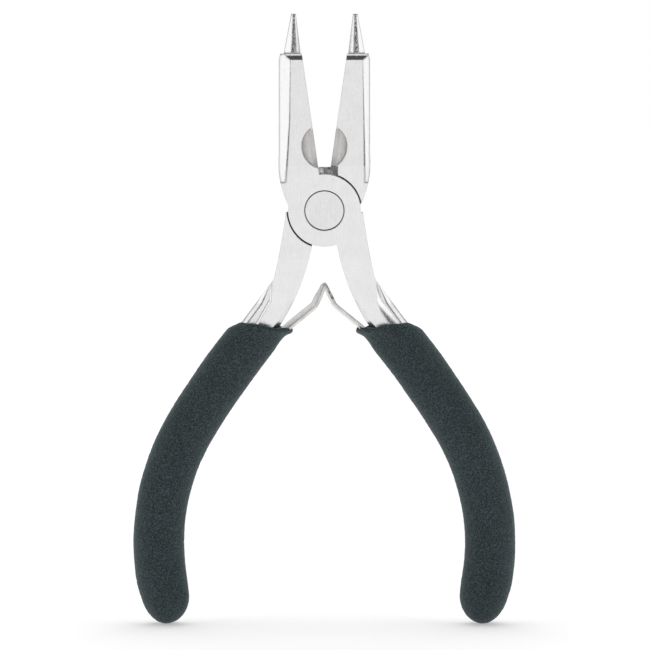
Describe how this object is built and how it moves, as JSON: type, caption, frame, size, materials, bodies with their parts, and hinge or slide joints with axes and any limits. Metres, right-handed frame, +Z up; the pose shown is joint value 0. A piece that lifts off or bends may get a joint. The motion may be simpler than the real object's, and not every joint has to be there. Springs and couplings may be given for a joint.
{
  "type": "needle nose pliers",
  "caption": "Small spring-opened combination pliers with conical tips, flat jaws, a side cutter, a lap joint on a flush rivet and foam-sleeved handles.",
  "frame": {"origin": "on the floor below the jaw pivot, midway between the two grips, at mid thickness", "axes": "+Z up along the tool from the grips to the jaw tips, +X to the right seen from the front, -Y out of the front face of the joint"},
  "size_m": [0.0784, 0.0104, 0.125],
  "materials": {
    "polished_steel": "bright ground and polished steel with fine lines along the jaws",
    "rivet_steel": "flush ground steel",
    "spring_steel": "rolled spring steel strip, slightly warm",
    "grip_foam": "dark slate closed-cell foam, matt and finely speckled"
  },
  "bodies": {
    "front_half": {"front_half": "polished_steel", "pivot_rivet": "rivet_steel", "right_grip": "grip_foam", "right_spring_foot": "spring_steel", "right_spring_rivet": "rivet_steel"},
    "rear_half": {"rear_half": "polished_steel", "left_grip": "grip_foam", "left_spring_foot": "spring_steel", "left_spring_rivet": "rivet_steel"},
    "left_spring": {"left_spring_blade": "spring_steel"},
    "right_spring": {"right_spring_blade": "spring_steel"}
  },
  "joints": [
    {"name": "jaw_pivot", "type": "hinge", "parent": "front_half", "child": "rear_half", "pos_m": [0, 0, 0.085], "axis": [0, -1, 0], "range_deg": [-4, 16.3], "stiffness_Nm_per_rad": 1.2},
    {"name": "left_spring_flex", "type": "hinge", "parent": "rear_half", "child": "left_spring", "pos_m": [-0.01, 0, 0.0591], "axis": [0, -1, 0], "range_deg": [-3, 12]},
    {"name": "right_spring_flex", "type": "hinge", "parent": "front_half", "child": "right_spring", "pos_m": [0.01, 0, 0.0591], "axis": [0, 1, 0], "range_deg": [-3, 12]}
  ],
  "couplings": [
    {"joint": "left_spring_flex", "follows": "jaw_pivot", "ratio": 0.68},
    {"joint": "right_spring_flex", "follows": "jaw_pivot", "ratio": 0.68}
  ]
}
